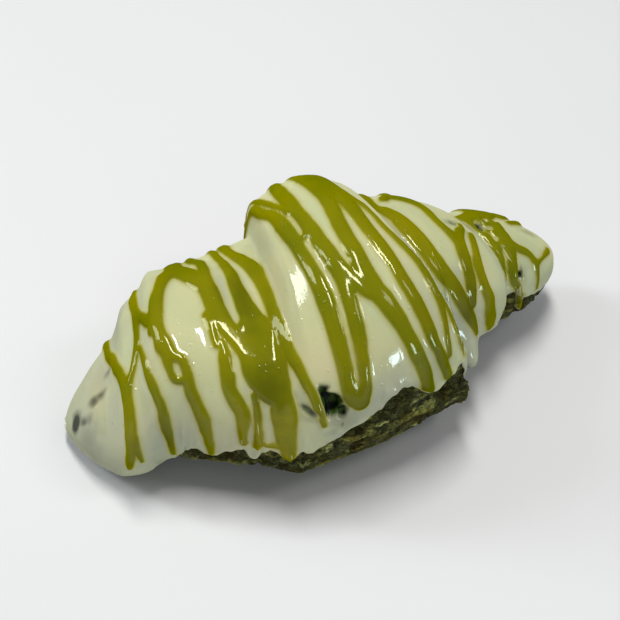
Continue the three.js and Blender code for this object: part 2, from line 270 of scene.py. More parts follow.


# ---- drizzle strands: (station, degrees, width) ----
STRANDS = [
    # left arm
    [(-66, 172, 1.6), (-66.2, 152, 2), (-65.4, 130, 1.8), (-64.2, 110, 2.2), (-62.2, 95, 2.5),
     (-60, 80, 2.6), (-58.4, 65, 3.4), (-57.8, 50, 3.3), (-58.1, 30, 3.3), (-58.6, 14, 2.6),
     (-59.2, 5, 1.8), (-59.6, -3, 0.7)],
    [(-57, 26, 1.4), (-56.4, 12, 1), (-55.8, 1, 0.3)],
    [(-54.6, 186, 1.6), (-54.2, 165, 2.2), (-54, 143, 2), (-53.8, 130, 2.1), (-54.3, 120, 3),
     (-53.4, 104, 2.6), (-54, 88, 2.2), (-55.5, 76, 1.7), (-57, 68, 2.4), (-58, 60, 2.8)],
    [(-53.2, 102, 2.4), (-51.8, 95, 2), (-50, 89, 2.6), (-48.4, 86, 3.6)],
    [(-53, 82, 0.9), (-52.2, 72, 1.6), (-51.4, 60, 1.7), (-50.4, 50, 2), (-49.6, 40, 1.6),
     (-48.7, 30, 2), (-48.4, 20, 2.6), (-48, 10, 2), (-47.6, 0, 1.3), (-47.3, -16, 0.9)],
    [(-49, 82, 3.4), (-48, 86, 4.2), (-46.2, 100, 3), (-45, 108, 3.4), (-43.2, 115, 5),
     (-40.5, 118, 6), (-37.5, 112, 5.5), (-33.5, 102, 5), (-31.8, 97, 5), (-30.9, 89, 5),
     (-29.5, 79, 5), (-27.5, 73, 5), (-25.5, 66, 5), (-23, 58, 6)],
    [(-41, 192, 2), (-40.4, 170, 3.4), (-40.2, 142, 4), (-40.6, 130, 5), (-40.6, 118, 6)],
    [(-33, 84, 3), (-32.8, 75, 2), (-32.6, 67, 1.2)],
    [(-36, 190, 1.6), (-35.4, 165, 2.4), (-34.8, 140, 2.3), (-35, 130, 2.4), (-34, 123, 2.4),
     (-32.2, 117, 2.4), (-31.6, 110, 2.4), (-31.5, 102, 3)],
    [(-29, 192, 2), (-28, 168, 2.8), (-27, 140, 2), (-26.3, 121, 2.4), (-25, 113, 2.8),
     (-23.8, 104, 3.2), (-23.4, 96, 3.8), (-22.5, 88, 5), (-21.5, 80, 6.5), (-21.2, 70, 8)],
    [(-22, 196, 2), (-22.8, 170, 3.4), (-22.4, 140, 3.4), (-22.4, 130, 3.4), (-21.2, 121, 3.6),
     (-19, 114, 4.2), (-16.8, 107, 4.8), (-15.6, 100, 4.8), (-14.8, 90, 3.4), (-14.8, 76, 3.4),
     (-14, 62, 3), (-13.4, 55, 2.6), (-12.3, 41, 1.9), (-11.5, 34, 1.8), (-10.5, 22, 1.2),
     (-9.7, 14, 1)],
    [(-21.2, 76, 9.5), (-21.2, 64, 11.6), (-21.2, 54, 11.6), (-20.2, 47, 10), (-18.8, 40, 6.4),
     (-18.9, 32, 6.6), (-19.2, 24, 5.8), (-19.3, 15, 4.8), (-19.1, 8, 3.6), (-19, 1, 2.6)],
    [(-31, 69, 1.2), (-31, 60, 3), (-31.2, 50, 3.4), (-31.1, 42, 3.4), (-30, 35, 3.9),
     (-28.9, 28, 3.8), (-29, 21, 3), (-29.4, 14, 2), (-29.5, 6, 1.4)],
    [(-25.4, 40, 1.2), (-25.2, 30, 1.5), (-25.5, 20, 1.6), (-25.8, 10, 2), (-26.4, 4, 1.4)],
    [(-25.8, 8, 1.2), (-24, 8, 0.9), (-21.5, 9, 0.9)],
    [(-48, 84, 4), (-47, 76, 3.6), (-46, 68, 4.6), (-44, 62, 2.8), (-42, 59, 2.4),
     (-41.1, 51, 2.2), (-40.9, 41, 2.9), (-39.7, 30, 3.2), (-38.7, 20, 3.4), (-38.3, 10, 2.6),
     (-37.9, 0, 2), (-37.6, -10, 1.2)],
    [(-46, 64, 2.4), (-45.4, 53, 1.6), (-44.4, 47.5, 1.6), (-42.8, 46.5, 1.6), (-41.3, 48, 1.8)],
    # widest coil
    [(-11, 192, 1.6), (-11, 165, 1.8), (-10, 140, 1), (-8.9, 120, 2.4), (-6.5, 110, 3),
     (-5.1, 100, 4.2), (-4.1, 90, 3.5), (-3.2, 80, 3.6), (-2.8, 70, 4.2), (-2.7, 50, 3.8),
     (-2.7, 40, 3.5), (-2.8, 30, 3.6), (-2.2, 22, 4), (-0.4, 17.8, 4.4)],
    [(-8, 190, 1.8), (-7.6, 160, 2), (-7.6, 140, 1.2), (-7.2, 130, 1.4), (-6, 122, 1.3),
     (-4.6, 115, 1.2), (-3, 110, 1.4), (-2, 106, 2)],
    [(-4.4, 93, 2), (-1.5, 92, 1.4), (1, 95, 2.4)],
    [(0, 192, 2), (0.4, 168, 3.4), (0.4, 140, 3), (-0.5, 130, 3.4), (-0.8, 120, 3.7),
     (-0.4, 110, 3.8), (0.4, 100, 3.6), (2.2, 86, 4), (3, 78, 4.2), (4.5, 73.5, 3.4),
     (6.5, 67, 3.4), (8.5, 62, 4), (10.8, 59, 5), (12.7, 50, 4.6), (14.4, 40, 3.9),
     (15.8, 30, 3.9), (17.3, 20, 3.7), (18.3, 10, 3.4), (18.8, 5, 2.6)],
    [(2.8, 78, 4), (3.2, 70, 3.6), (2.9, 60, 3.4), (2.5, 50, 3.4), (2.1, 40, 3),
     (1.7, 30, 2.7), (1.2, 22, 3.4), (-0.2, 17.8, 4.4)],
    [(9, 192, 2.4), (8.6, 165, 4), (8.6, 140, 5), (9, 122, 5), (10.5, 112, 6),
     (9.9, 100, 4), (9, 90, 4.1), (9.1, 80, 4.2), (9.4, 70, 4.6), (10.4, 61, 4.6)],
    [(14, 192, 2.6), (13, 165, 4.4), (12.6, 140, 5), (13, 118, 6), (14.5, 108, 5),
     (15.8, 90, 3.9), (17, 80, 3.6), (18, 70, 3.2), (18.6, 60, 3.4), (20.7, 40, 3.3),
     (21.5, 30, 3), (23.1, 20, 2.8), (24.5, 10, 2.4)],
    [(16.5, 108, 1.6), (18, 102, 1.6), (19.6, 97, 1.4), (20.8, 91, 1.3), (22.1, 84, 1.6),
     (24.5, 73, 2), (25.8, 66, 2.2), (26.6, 50, 2.2), (26.3, 40, 1.4), (25.8, 30, 1.4),
     (25.5, 20, 1.2)],
    [(27.6, 50, 0.4), (28.6, 38, 0.6), (29.6, 26, 0.7), (30.6, 16, 0.4)],
    # right arm
    [(29, 190, 1.8), (29, 165, 3.2), (27.4, 130, 3), (26.8, 107, 2.6), (28.5, 100, 3.6),
     (30.7, 90, 5), (31.5, 80, 5.2), (33, 60, 4.9), (34.1, 50, 4.7), (35.6, 40, 4.6),
     (36.9, 30, 4.2), (38.2, 20, 4), (39.8, 10, 3.2), (41, 0, 2)],
    [(39, 190, 2), (40, 165, 3), (37, 140, 3), (35, 118, 2.6)],
    [(31.5, 112, 2), (34, 117, 3.4), (37.6, 114.5, 4.2), (41, 107, 3.8), (42.4, 99, 3.2),
     (42.5, 90, 2.6), (43.4, 80, 2.9), (44, 70, 3.4), (43.6, 60, 4), (42.7, 50, 3.4),
     (42, 40, 3.6), (41.4, 30, 3), (41.2, 20, 1.8)],
    [(51, 88, 1.2), (50, 84, 1.6), (48, 80, 2.6), (46, 74, 3), (44.4, 66, 3.4)],
    [(51.8, 78, 1.6), (50.5, 72, 2), (49.3, 65, 2), (48, 57, 2.4), (46.8, 50, 3.6),
     (46.5, 40, 3.2), (46.7, 30, 3.4), (47.5, 20, 3.6), (47.5, 10, 4), (48.4, 0, 4),
     (49, -8, 2.6)],
    # right tip
    [(61, 186, 2.4), (62, 168, 3.6), (64, 145, 6), (66, 128, 9), (66, 116, 10),
     (63, 104, 8.6), (63.8, 95, 8.4), (64.2, 85, 5.4), (64.2, 75, 4), (63, 60, 3.4),
     (62.4, 52, 2.8), (61.4, 42, 3), (60.7, 28, 3), (61.1, 20, 2.2), (61.9, 12, 1.6),
     (62.5, 2, 1.4), (63, -10, 1.3), (63.8, -22, 1)],
    [(72, 178, 1.6), (73, 160, 2.6), (74, 140, 3.4), (74.5, 124, 5), (72, 114, 6)],
    [(78.5, 110, 1.8), (76, 102, 2.4), (72, 96, 1.6)],
    [(56.5, 104, 3), (59, 104, 5), (62, 106, 6)],
    [(57.8, 102, 2.4), (58.5, 88, 2.2), (58.8, 78, 2), (58.6, 70, 2.4), (58.6, 62, 2.8),
     (58.5, 54, 1.8), (57.7, 40, 1.2), (57.3, 32, 0.8)],
    [(59, 66, 2.4), (61, 67, 2.4), (63.4, 67, 4), (65, 64, 3), (66.5, 59, 2.4),
     (68.5, 54, 2.2), (69.6, 49, 1.9), (70.2, 42, 1.9), (70.6, 36, 2.2), (70.6, 30, 2),
     (70.4, 24, 1.5), (70.2, 14, 0.9), (69.8, 3, 0.7)],
    [(59.5, 102, 2), (61.5, 97, 2.4), (64, 92, 3)],
    [(71, 36, 1.8), (73, 37.5, 1.1), (75, 40, 0.9), (77, 43, 1), (79, 46, 1.4),
     (80.4, 49, 1.6)],
]


def strand_samples(strand, spacing=0.5):
    """Evenly spaced places on a smooth curve through a strand's points, with its width."""
    points = np.array(strand, float)
    ends = np.vstack([2 * points[0] - points[1], points, 2 * points[-1] - points[-2]])
    samples = []
    for p0, p1, p2, p3 in zip(ends, ends[1:], ends[2:], ends[3:]):
        step = p2 - p1
        length = np.hypot(step[0], step[1] * DEGREE)
        t = np.linspace(0, 1, max(2, int(length / spacing)), endpoint=False)[:, None]
        samples.append(0.5 * (2 * p1 + (p2 - p0) * t + (2 * p0 - 5 * p1 + 4 * p2 - p3) * t ** 2
                              + (3 * p1 - p0 - 3 * p2 + p3) * t ** 3))
    samples.append(points[-1:])
    return np.vstack(samples)


def half_widths(samples):
    """Half the width across a strand in mm. Widths are drawn on the unrolled form, and they
    grow with the root of its stretch, which is largest where a step makes the roll steep."""
    least, most = 0.9, 2.4
    station, degrees, width = samples.T
    run = form(station + 0.5, degrees) - form(station - 0.5, degrees)
    turn = (form(station, degrees + 0.5) - form(station, degrees - 0.5)) / DEGREE
    ahead, round_roll = np.gradient(station)[:, None], DEGREE * np.gradient(degrees)[:, None]
    path = run * ahead + turn * round_roll
    path /= np.linalg.norm(path, axis=1, keepdims=True)
    across = (turn * ahead - run * round_roll) / np.hypot(ahead, round_roll)
    across -= path * (across * path).sum(1, keepdims=True)
    return width / 2 * np.sqrt(np.clip(np.linalg.norm(across, axis=1), least, most))


def drizzle_field(station, points):
    """Distance inside the drizzle's outline, positive inside, with merged strands filleted."""
    fillet, nearby, batch = 0.8, 9, 4000
    total = np.full(station.shape, -FAR)
    for strand in STRANDS:
        samples = strand_samples(strand)
        centre, reach = form(samples[:, 0], samples[:, 1]), half_widths(samples)
        first, last = samples[:, 0].min(), samples[:, 0].max()
        near = (station > first - nearby) & (station < last + nearby)
        here = points[near]
        best = np.zeros(len(here))
        for k in range(0, len(here), batch):
            away = np.linalg.norm(here[k:k + batch, None] - centre[None], axis=-1)
            best[k:k + batch] = np.maximum((reach - away).max(1), -FAR)
        mixed = np.clip(0.5 + 0.5 * (best - total[near]) / fillet, 0, 1)
        total[near] = (total[near] * (1 - mixed) + best * mixed
                       + fillet * mixed * (1 - mixed))
    total += bumpy(points, [(0.16, 2.6, 71), (0.16, 6, 72)], SPREAD)
    for gap in GAPS[1:]:            # strands bridge the first gap only
        total = np.minimum(total, spot_distance(points, gap) - 0.1)
    return total


def spot_distance(points, spot):
    """Distance outside the uneven rim of a gap or a spot, negative inside it."""
    s0, a0, half_s, half_a = spot[:4]
    centre, normal = point_and_normal(np.array([s0]), np.array([a0]))
    ahead = form(np.array([s0 + 1.0]), np.array([a0]))[0] - centre[0]
    ahead /= np.linalg.norm(ahead)
    aside = np.cross(normal[0], ahead)
    offset = points - centre[0]
    x, y = offset @ ahead, offset @ aside
    deep = np.abs(offset @ normal[0])
    wobble = bumpy(points, [(0.32, 2.2, 31)], 1)
    reach = np.sqrt((x / half_s) ** 2 + (y / half_a) ** 2) / wobble
    return (reach - 1) * (half_s + half_a) / 2 + np.maximum(0, deep - SPOT_DEPTH)


def lip_angle(lip, station):
    """Angle of a lower edge of the glaze, made uneven by noise of two sizes."""
    points, seed = lip
    here = np.stack([station, np.full_like(station, seed)], -1)
    return bumpy(here, [(1.6, 3.1, seed), (0.8, 1.4, seed + 5)], along(points, station))


def lip_distance(station, degrees):
    """Distance above the glaze's lower edge, along the surface, negative below it."""
    ds = 0.4
    size = np.radians(radius(station))
    result = []
    for lip, up in zip(LIPS, (degrees, 180 - degrees)):
        slope = (lip_angle(lip, station + ds) - lip_angle(lip, station - ds)) / (2 * ds) * size
        result.append((up - lip_angle(lip, station)) * size / np.sqrt(1 + slope ** 2))
    return np.minimum(*result)


def edge_profile(distance, reach):
    """0 at an edge, rising steeply and rounding off to 1; falls below 0 outside the edge."""
    lowest = -0.6
    inside = np.sqrt(np.clip(1 - (1 - np.clip(distance / reach, 0, 1)) ** 2, 0, 1))
    return np.where(distance >= 0, inside, np.maximum(distance / reach, lowest))


def glaze_surface(station, degrees, field=None):
    """Outer face of the glaze, its normal, its thickness, and the field of the drizzle."""
    point, normal = point_and_normal(station, degrees)
    edge = lip_distance(station, degrees)
    ripples = bumpy(point * FLOW, [(0.26, 9, 1), (0.12, 4.2, 2)]) + 0.35 * noise(point, 24, 3)
    bead = BEAD * np.exp(-((edge - BEAD_AT) / BEAD_REACH) ** 2)
    thick = GLAZE * edge_profile(edge, LIP_ROUND) + bead * smooth(edge)
    if field is None:
        field = drizzle_field(station, point)
    ridge = RIDGE * smooth(field / RIDGE_RUN + 0.45)
    fade = smooth(thick / GLAZE)
    offset = thick - GLAZE + (ripples + ridge) * fade - gap_hollow(point, field)
    return point + normal * offset[..., None], normal, thick, field


def gap_hollow(points, field, margin=0.0):
    """How deep the gaps in the glaze go: rounded rims, then steep sides. Strands bridge them."""
    hollow = np.zeros(points.shape[:-1])
    for gap in GAPS:
        half_s, depth = gap[2], gap[4]
        run = 0.8 + 0.45 * half_s   # a longer gap has less steep sides
        rim = np.maximum(spot_distance(points, gap) - margin, field + BRIDGE)
        hollow = np.maximum(hollow, depth * smooth(0.35 - rim / run))
    return hollow


def dough_inset(station, degrees):
    """How far the dough lies inside the form: under the glaze, easing out below its lip. It is
    fuller near the right tip, where the bare dough stands out past the form."""
    below = -lip_distance(station, degrees) / np.radians(radius(station))
    bare = smooth(below / TUCK_ANGLE)
    tip = smooth((station - TIP_START) / 6) * smooth((NOSE - 4 - station) / 8)
    return GLAZE * (1 - TIP_RISE * tip) * (1 - bare) - TIP_SWELL * tip * bare


def dough_relief(station, degrees, point):
    """Height of the bare dough's flaky layers, with its pits and the one deep fold."""
    layer, lap = 3.4, 0.86          # thickness of a layer, and where its edge starts to drop
    height = bumpy(point, [(2.2, 14, 41), (0.7, 5, 42)], point[..., 2])
    ledge = 1 - (height / layer) % 1.0
    ledge = np.where(ledge > lap, (1 - ledge) / (1 - lap), ledge / lap) - 0.5
    patch = smooth(noise(point, 8, 43) * 1.2 + 0.5)
    along_roll = point * (0.45, 0.45, 1.0)
    relief = bumpy(along_roll, [(0.45, 3.0, 44), (0.4, 1.5, 45)], 0.75 * ledge * patch)
    relief += 0.25 * noise(point, 0.8, 46)
    pits = smooth((noise(point, 2.6, 47) - 0.38) / 0.25)
    relief -= 1.2 * pits
    relief *= 1 - 0.6 * smooth((station - TIP_START) / 8)
    fold = np.exp(-((station - 24 - 0.05 * degrees) / 1.1) ** 2) * smooth((8 - degrees) / 6)
    return relief - 1.6 * fold


# ---- meshes ----
raw = form(*np.meshgrid(np.linspace(TAIL, NOSE, 400), np.linspace(-90, 270, 241)))
raw_low, raw_high = raw.reshape(-1, 3).min(0), raw.reshape(-1, 3).max(0)
node_low, node_high = (np.array(corner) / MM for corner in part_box("croissant"))
PLACE = (node_low + node_high) / 2 - (raw_low + raw_high) / 2
PLACE[2] = node_low[2] - raw_low[2]


def add_object(name, data):
    """An object in the scene, from a mesh, a lamp's data or a camera's."""
    made = bpy.data.objects.new(name, data)
    bpy.context.scene.collection.objects.link(made)
    return made


def add_piece(name, points, faces, look, attributes):
    """A mesh piece from points in mm, riding on the body in place of the CAD solid."""
    mesh = bpy.data.meshes.new(name)
    mesh.from_pydata(((points + PLACE) * MM).tolist(), [], faces)
    mesh.validate()
    mesh.polygons.foreach_set("use_smooth", [True] * len(mesh.polygons))
    mesh.set_sharp_from_angle(angle=math.radians(60))
    for key, values in attributes.items():
        layer = mesh.attributes.new(key, "FLOAT", "POINT")
        layer.data.foreach_set("value", np.asarray(values, np.float32))
    mesh.materials.append(look)
    piece = add_object(name, mesh)
    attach(piece, "root")
    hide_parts("croissant")


def ring_stations(spacing):
    """Stations of rings about evenly spaced over the surface, crowding at the tips."""
    dense = np.linspace(TAIL, NOSE, 4000)
    steps = [np.linalg.norm(np.diff(form(dense, np.full_like(dense, a)), axis=0), axis=1)
             for a in (0, 60, 120, 180)]
    growth = np.max(steps, axis=0) * 0.5 + np.mean(steps, axis=0) * 0.5
    length = np.concatenate([[0], np.cumsum(growth)])
    count = int(length[-1] / spacing)
    return np.interp(np.linspace(0, length[-1], count + 1)[1:-1], length, dense)


def grid_quads(rows, columns, wrap=False):
    """Outward-facing quads of a grid of rows of points."""
    i, j = np.meshgrid(np.arange(rows - 1), np.arange(columns if wrap else columns - 1),
                       indexing="ij")
    a, b = i * columns + j, i * columns + (j + 1) % columns
    return np.stack([a, a + columns, b + columns, b], -1).reshape(-1, 4)


def dough():
    """The whole dough body, rough where the glaze leaves it bare."""
    rows = [np.linspace(first, end, count, endpoint=False)
            for (first, count), (end, _) in zip(DOUGH_ROWS, DOUGH_ROWS[1:])]
    station, degrees = np.meshgrid(ring_stations(DOUGH_SPACING), np.concatenate(rows),
                                   indexing="ij")
    point, normal = point_and_normal(station, degrees)
    relief = dough_relief(station, degrees, point)
    bare = smooth((1.5 - lip_distance(station, degrees)) / 2)
    above_table = smooth(point[..., 2] / 2.0)
    deeper, wider = 1.4, 1.2        # its hollows stay clear of the gaps in the glaze
    hollow = deeper * gap_hollow(point, NO_DRIZZLE, wider)
    offset = relief * bare * above_table - dough_inset(station, degrees) - hollow
    points = point + normal * offset[..., None]
    points[..., 2] = np.maximum(points[..., 2], 0)
    faces = grid_quads(*station.shape, wrap=True).tolist() + close_tips(*station.shape)
    tips = [tip_point(TAIL + GLAZE), tip_point(NOSE - GLAZE)]
    add_piece("bare_dough", np.vstack([points.reshape(-1, 3)] + tips), faces,
              dough_material(), {"relief": np.append(relief.ravel(), [0, 0])})


def close_tips(rings, rows):
    """Fans from the two tip points, which follow the grid's points, to the end rings."""
    first, last, tip = 0, (rings - 1) * rows, rings * rows
    faces = []
    for j in range(rows):
        k = (j + 1) % rows
        faces.append([tip, first + j, first + k])
        faces.append([tip + 1, last + k, last + j])
    return faces


def rows_between_lips(stations, spacing):
    """Angles of the rows from the front lip over the top to the back lip, close at both."""
    widest_turn, widest_radius = 260, 38
    near_lip = [0, 0.06, 0.2, 0.42, 0.75, 1.15, 1.6]        # in mm, to follow its rounding
    front, back = lip_angle(LIPS[0], stations), 180 - lip_angle(LIPS[1], stations)
    near = np.array(near_lip)[:, None] / np.radians(radius(stations))
    count = int(widest_turn * np.radians(widest_radius) / spacing)
    middle = between((front + near[-1], back - near[-1]), np.linspace(0, 1, count)[:, None])
    return np.vstack([front + near[:-1], middle, back - near[-2::-1]]).T


def glaze():
    """A closed shell over the form, from its front lip over the top to its back lip."""
    stations = ring_stations(GLAZE_SPACING)
    degrees = rows_between_lips(stations, GLAZE_ROW_SPACING)
    station = np.repeat(stations[:, None], degrees.shape[1], 1)
    outer, _, thick, field = glaze_surface(station, degrees)
    rings, rows = station.shape
    keep = sorted(set(range(0, rows, INNER_ROWS)) | {rows - 1})
    inner, inner_normal = point_and_normal(station[:, keep], degrees[:, keep])
    inset, wider = GLAZE + UNDERLAP, 6.0
    inner = inner - inner_normal * (inset + gap_hollow(inner, NO_DRIZZLE, wider))[..., None]
    tips = [tip_point(TAIL), tip_point(NOSE), tip_point(TAIL + inset), tip_point(NOSE - inset)]
    points = np.vstack([outer.reshape(-1, 3), inner.reshape(-1, 3)] + tips)
    point = form(station, degrees)
    hollow = gap_hollow(point, field)
    tints = {
        "thin": 1 - smooth(thick / (0.9 * GLAZE)),  # at the very edge
        "low": shadow_tint(station, degrees),  # painted shade
        "stain": smooth(1 + field / 1.4) * smooth(1.5 - hollow),  # beside a strand
        "smudge": soft_spots(point, SMUDGES),  # where the dough shows
        "pit": smooth(hollow / 1.1 - 0.15),  # inside a gap: dark green dough in painted shade
    }
    rest = np.zeros(len(points) - station.size)
    add_piece("glaze", points, shell_faces(rings, rows, len(keep)), glaze_material(),
              {name: np.append(tint, rest) for name, tint in tints.items()})


def shell_faces(rings, rows, inner_rows):
    """Faces of the glaze. Its points are an outer grid, an inner grid, the tail and nose tips
    of the outer one, and those of the inner one."""
    base = rings * rows
    tail_out = base + rings * inner_rows
    nose_out, tail_in, nose_in = tail_out + 1, tail_out + 2, tail_out + 3
    faces = grid_quads(rings, rows).tolist()
    faces += (base + grid_quads(rings, inner_rows)[:, ::-1]).tolist()
    for i in range(rings - 1):                       # walls under the two lips
        a, b = i * rows, (i + 1) * rows
        c, d = base + i * inner_rows, base + (i + 1) * inner_rows
        faces.append([a, c, d, b])
        a, b, c, d = a + rows - 1, b + rows - 1, c + inner_rows - 1, d + inner_rows - 1
        faces.append([a, b, d, c])
    last, inner_last = (rings - 1) * rows, base + (rings - 1) * inner_rows
    for j in range(rows - 1):
        faces.append([tail_out, j, j + 1])
        faces.append([nose_out, last + j + 1, last + j])
    for j in range(inner_rows - 1):
        faces.append([tail_in, base + j + 1, base + j])
        faces.append([nose_in, inner_last + j, inner_last + j + 1])
    return faces + [[0, tail_out, tail_in, base],
                    [rows - 1, base + inner_rows - 1, tail_in, tail_out],
                    [last, inner_last, nose_in, nose_out],
                    [last + rows - 1, nose_out, nose_in, inner_last + inner_rows - 1]]


def soft_spots(points, spots):
    """Share of a tint, in soft spots."""
    shade = np.zeros(points.shape[:-1])
    for spot in spots:
        half_s, half_a, share = spot[2:]
        rim = spot_distance(points, spot)
        shade = np.maximum(shade, share * smooth(0.5 - rim / (half_s + half_a)))
    return np.minimum(shade, 1)


def fading(x, shade):
    """The share of a (share, start, length) shade that is left at x."""
    share, start, length = shade
    return share * smooth((start - x) / length)


def shadow_tint(station, degrees):
    """Painted shade, greyest along the glaze's lower edges, at the left tip and in the steps."""
    point = form(station, degrees)
    cloud = noise(point, 13, 61)
    low = fading(np.minimum(degrees, 180 - degrees) + 14 * cloud, LOW_SHADE)
    tail = fading(station - 9 * cloud, TAIL_SHADE)
    painted_crease_shade = 0
    # painted shade in the crease beside each step
    for step, depth in zip(STEPS, STEP_SHADES):
        at = step_station(step, np.radians(degrees))
        beside = np.where(step[0] > 0, station - at, at - station)
        painted_crease_shade = np.maximum(painted_crease_shade, depth * np.exp(-((beside - 1.5) / 2.6) ** 2))
    return 1 - (1 - low) * (1 - tail) * (1 - 0.7 * painted_crease_shade) * (1 - soft_spots(point, SHADES))


def halve(grid):
    """A grid of values with one more value, their mean, between each two."""
    rows, columns = grid.shape[:2]
    fine = np.zeros((2 * rows - 1, 2 * columns - 1) + grid.shape[2:])
    fine[::2, ::2] = grid
    fine[1::2, ::2] = (grid[1:] + grid[:-1]) / 2
    fine[:, 1::2] = (fine[:, 2::2] + fine[:, :-2:2]) / 2
    return fine


def drizzle():
    """Thin strands on the glaze's ridges: the part of a grid that lies inside their outline."""
    station, degrees = np.meshgrid(ring_stations(DRIZZLE_SPACING), np.arange(*DRIZZLE_ROWS),
                                   indexing="ij")
    surface, _, _, field = glaze_surface(station, degrees)
    station, degrees, surface, field = (halve(g) for g in (station, degrees, surface, field))
    field = np.minimum(field, lip_distance(station, degrees) - LIP_MARGIN) + FILM
    station, degrees, field, covered = snap_to_outline(station, degrees, surface, field)
    faces = outline_faces(field, covered)
    used = sorted({v for face in faces for v in face})
    index = {v: k for k, v in enumerate(used)}
    faces = [[index[v] for v in face] for face in faces]
    station, degrees, height = (g.ravel()[used] for g in (station, degrees, field))
    surface, normal, _, _ = glaze_surface(station, degrees, height - FILM)
    clear = 0.02                    # its film lies this far over the glaze
    profile = 1 - (1 - np.clip((height - FILM) / DRIZZLE_RUN, 0, 1)) ** 2
    top = surface + normal * (clear + DRIZZLE * profile)[..., None]
    tints = {
        "depth": np.clip(height / (2 * FILM), 0, 1),  # 0 at the edge
        "low": shadow_tint(station, degrees),  # painted shade, as in the glaze
        "deep": soft_spots(surface, SHADES),  # painted shade: a darker olive
    }
    add_piece("drizzle", np.vstack([top, surface - normal * ROOT]), sheet_faces(faces, len(top)),
              drizzle_material(), {name: np.tile(t, 2) for name, t in tints.items()})


def snap_to_outline(station, degrees, surface, field):
    """Moves the grid's points nearest to each crossing of the outline onto it. Gives the new
    places, the field there, and which points are on or inside the outline."""
    inside = field > 0
    snap = np.zeros_like(inside)
    for axis in (0, 1):
        near, far = (np.take(field, range(start, start + field.shape[axis] - 1), axis)
                     for start in (0, 1))
        crossing = (near > 0) != (far > 0)
        nearer = np.abs(near) <= np.abs(far)
        pad = [(0, 0), (0, 0)]
        for shift, hit in ((0, crossing & nearer), (1, crossing & ~nearer)):
            pad[axis] = (shift, 1 - shift)
            snap |= np.pad(hit, pad)
    # the field's slope on the surface, in steps of the grid
    f_i, f_j = np.gradient(field)
    e_i, e_j = np.gradient(surface, axis=0), np.gradient(surface, axis=1)
    a, b, c = (e_i * e_i).sum(-1), (e_i * e_j).sum(-1), (e_j * e_j).sum(-1)
    det = np.maximum(a * c - b * b, 1e-9)
    g_i, g_j = (c * f_i - b * f_j) / det, (a * f_j - b * f_i) / det
    move = np.where(snap, -field / np.maximum(f_i * g_i + f_j * g_j, 0.05), 0)
    furthest = 0.7                  # of the way to the next point
    station = station + np.clip(move * g_i, -furthest, furthest) * np.gradient(station, axis=0)
    degrees = degrees + np.clip(move * g_j, -furthest, furthest) * np.gradient(degrees, axis=1)
    return station, degrees, np.where(snap, 0, field), inside | snap


def outline_faces(field, covered):
    """Small faces along the outline, and faces of twice the size further in."""
    further_in, short_of_it = 0.55, -0.3
    rings, rows = field.shape
    fine = grid_quads(rings, rows)
    corners = covered.ravel()[fine].sum(1)
    middle = field.ravel()[fine].mean(1)
    block = np.min([field[i:rings - 2 + i:2, j:rows - 2 + j:2] for i in (0, 1, 2)
                    for j in (0, 1, 2)], axis=0) > further_in
    coarse = np.pad(block.repeat(2, 0).repeat(2, 1), ((0, 1), (0, 1)))
    in_block = coarse[:-1, :-1].ravel()
    faces = fine[(corners == 4) & (middle > 0) & ~in_block].tolist()
    for quad in fine[(corners == 3) & (middle > short_of_it)]:
        faces.append([v for v in quad if covered.flat[v]])
    for i, j in np.argwhere(block):
        faces.append(block_face(coarse, 2 * i, 2 * j, rows))
    return faces


def block_face(coarse, i, j, rows):
    """A face over two by two cells, with a point on each side that has small neighbours."""
    face = []
    for (di, dj), (mi, mj), (ni, nj) in (((0, 0), (1, 0), (0, -1)), ((2, 0), (2, 1), (2, 0)),
                                         ((2, 2), (1, 2), (0, 2)), ((0, 2), (0, 1), (-1, 0))):
        face.append((i + di) * rows + j + dj)
        if not coarse[i + ni, j + nj]:
            face.append((i + mi) * rows + j + mj)
    return face


def sheet_faces(faces, shift):
    """A thin closed sheet: its top faces, the same faces under them, and a wall between."""
    edges = {(a, b) for face in faces for a, b in zip(face, face[1:] + face[:1])}
    walls = [[b, a, a + shift, b + shift] for a, b in edges if (b, a) not in edges]
    below = [[v + shift for v in reversed(face)] for face in faces]
    return faces + below + sorted(walls)


# ---- materials ----
def new_material(name):
    """A node material, its node tree and its shader."""
    made = bpy.data.materials.new(name)
    made.use_nodes = True
    return made, made.node_tree, made.node_tree.nodes["Principled BSDF"]


def feed(tree, socket, value):
    """Gives an input its value: another node's output, a colour or another constant."""
    if isinstance(value, bpy.types.NodeSocket):
        tree.links.new(value, socket)
    elif socket.type == "RGBA":
        socket.default_value = (*value, 1)
    else:
        socket.default_value = value


def set_inputs(tree, node, **values):
    """Values of a shader's own inputs, whose names are given with _ for a space."""
    for key, value in values.items():
        feed(tree, node.inputs[key.replace("_", " ")], value)


def add_node(tree, kind, **settings):
    """A node with its settings, which name its inputs or its properties."""
    node = tree.nodes.new("ShaderNode" + kind)
    for key, value in settings.items():
        if key in node.inputs:
            feed(tree, node.inputs[key], value)
        else:
            setattr(node, key, value)
    return node


def place_node(tree, stretch=(1, 1, 1)):
    """The object's own coordinates, along which a pattern is finer where stretch is larger."""
    where = add_node(tree, "TexCoord").outputs["Object"]
    return add_node(tree, "Mapping", Vector=where, Scale=stretch).outputs["Vector"]


def noise_node(tree, scale, detail=2.0, stretch=(1, 1, 1)):
    """Noise over the object's own coordinates; scale is in bumps per metre."""
    where = place_node(tree, stretch)
    return add_node(tree, "TexNoise", Vector=where, Scale=scale, Detail=detail).outputs["Fac"]


def ramp(tree, source, stops):
    """Colour from a 0 to 1 value, through (position, colour) stops."""
    made = add_node(tree, "ValToRGB", Fac=source)
    elements = made.color_ramp.elements
    while len(elements) < len(stops):
        elements.new(0.5)
    for element, (position, colour) in zip(elements, stops):
        element.position = position
        element.color = (*colour, 1)
    return made.outputs["Color"]


def grey(value):
    return (value,) * 3


